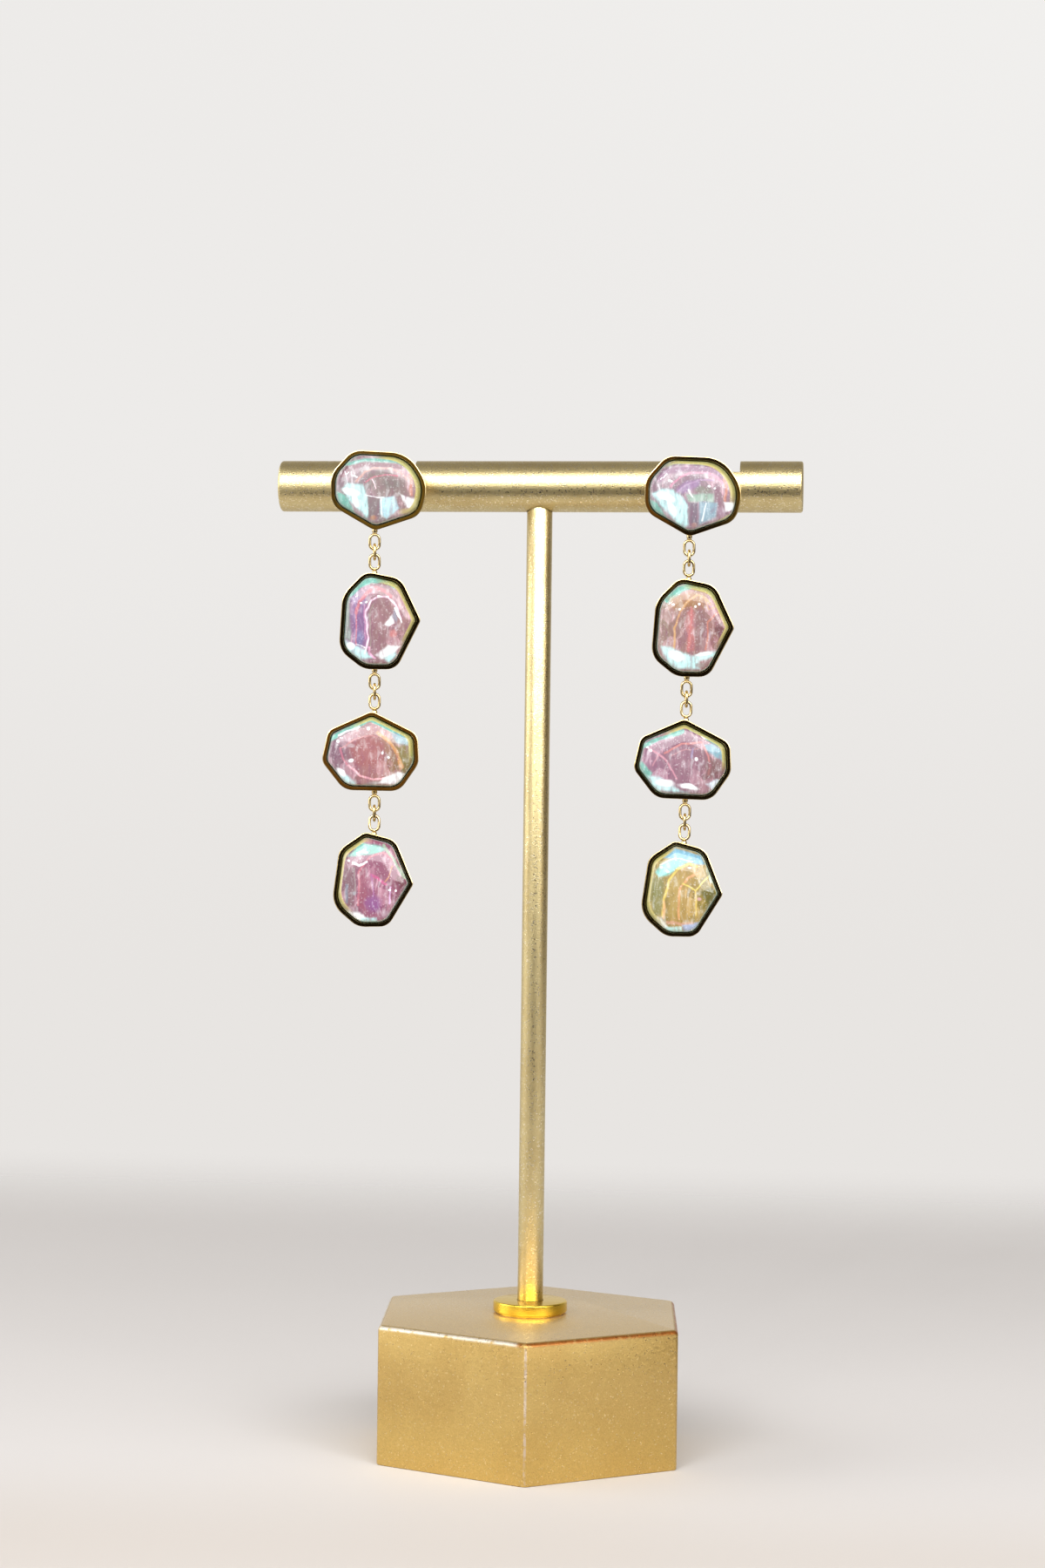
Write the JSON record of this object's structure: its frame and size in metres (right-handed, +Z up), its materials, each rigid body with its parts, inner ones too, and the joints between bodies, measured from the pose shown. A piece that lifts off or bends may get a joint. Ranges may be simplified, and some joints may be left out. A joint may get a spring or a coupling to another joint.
{
  "type": "pair of drop earrings on a t-bar stand",
  "caption": "Long drop earrings of bezel-set domed stones joined by short chains, hanging in the notches of a T-bar display stand with a hexagonal base.",
  "frame": {"origin": "centre of the base's flat underside", "axes": "+Z up along the post, +X along the bar to the right seen from the front, -Y to the front, where the settings face"},
  "size_m": [0.0826, 0.0526, 0.1562],
  "materials": {
    "flake_paint": "gold flake lacquer",
    "bright_brass": "polished",
    "satin_brass": "satin, bead blasted",
    "polished_gold": "polished gold plating",
    "stone_1": "iridescent, foil backed",
    "stone_2": "iridescent, foil backed",
    "stone_3": "iridescent, foil backed",
    "stone_4": "iridescent, foil backed"
  },
  "bodies": {
    "stand": {"base": "flake_paint", "collar": "bright_brass", "post": "satin_brass", "bar": "satin_brass", "left_setting_1": "polished_gold", "left_stone_1": "stone_1", "left_clutch": "polished_gold", "right_setting_1": "polished_gold", "right_stone_1": "stone_1", "right_clutch": "polished_gold"},
    "left_drop": {"left_setting_2": "polished_gold", "left_stone_2": "stone_2", "left_setting_3": "polished_gold", "left_stone_3": "stone_3", "left_setting_4": "polished_gold", "left_stone_4": "stone_4", "left_link_1": "polished_gold", "left_link_2": "polished_gold", "left_link_3": "polished_gold"},
    "right_drop": {"right_setting_2": "polished_gold", "right_stone_2": "stone_2", "right_setting_3": "polished_gold", "right_stone_3": "stone_3", "right_setting_4": "polished_gold", "right_stone_4": "stone_4", "right_link_1": "polished_gold", "right_link_2": "polished_gold", "right_link_3": "polished_gold"}
  },
  "joints": [
    {"name": "left_drop_swing", "type": "hinge", "parent": "stand", "child": "left_drop", "pos_m": [-0.025, -0.00762, 0.14097], "axis": [0.9781, 0.2079, 0], "range_deg": [-45, 45]},
    {"name": "right_drop_swing", "type": "hinge", "parent": "stand", "child": "right_drop", "pos_m": [0.024, -0.00675, 0.14027], "axis": [0.9962, 0.0872, 0], "range_deg": [-45, 45]}
  ]
}
